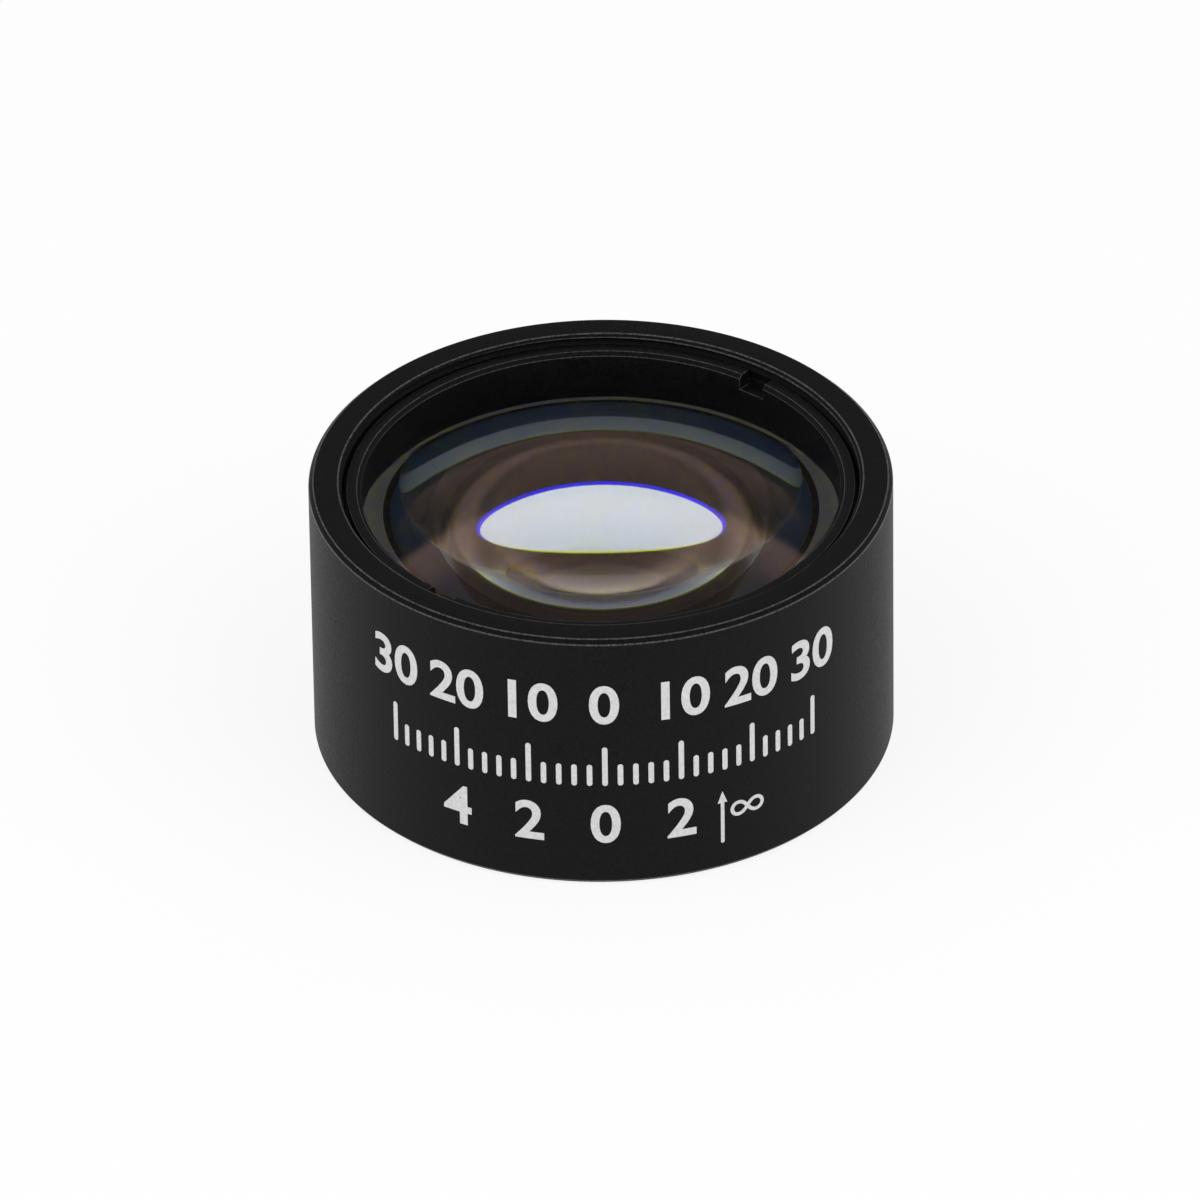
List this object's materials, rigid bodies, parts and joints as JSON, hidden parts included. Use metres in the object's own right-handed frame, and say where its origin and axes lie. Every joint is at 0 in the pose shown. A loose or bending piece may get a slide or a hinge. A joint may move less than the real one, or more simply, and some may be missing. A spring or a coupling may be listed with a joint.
{
  "type": "achromatic doublet lens",
  "caption": "Air-spaced achromatic doublet in a short black cylindrical housing, held by a slotted threaded retaining ring.",
  "frame": {"origin": "centre of the flat base, where the housing stands on its rear rim", "axes": "+Z along the optical axis, from the base to the mouth with the retaining ring"},
  "size_m": [0.0254, 0.0254, 0.0127],
  "materials": {
    "black_anodised": "satin black anodised",
    "coated_glass": "polished, with a thin brownish anti-reflection coat"
  },
  "bodies": {
    "root": {"housing": "black_anodised", "retaining_ring": "black_anodised", "spacer_ring": "black_anodised", "front_element": "coated_glass", "rear_element": "coated_glass"}
  },
  "joints": []
}
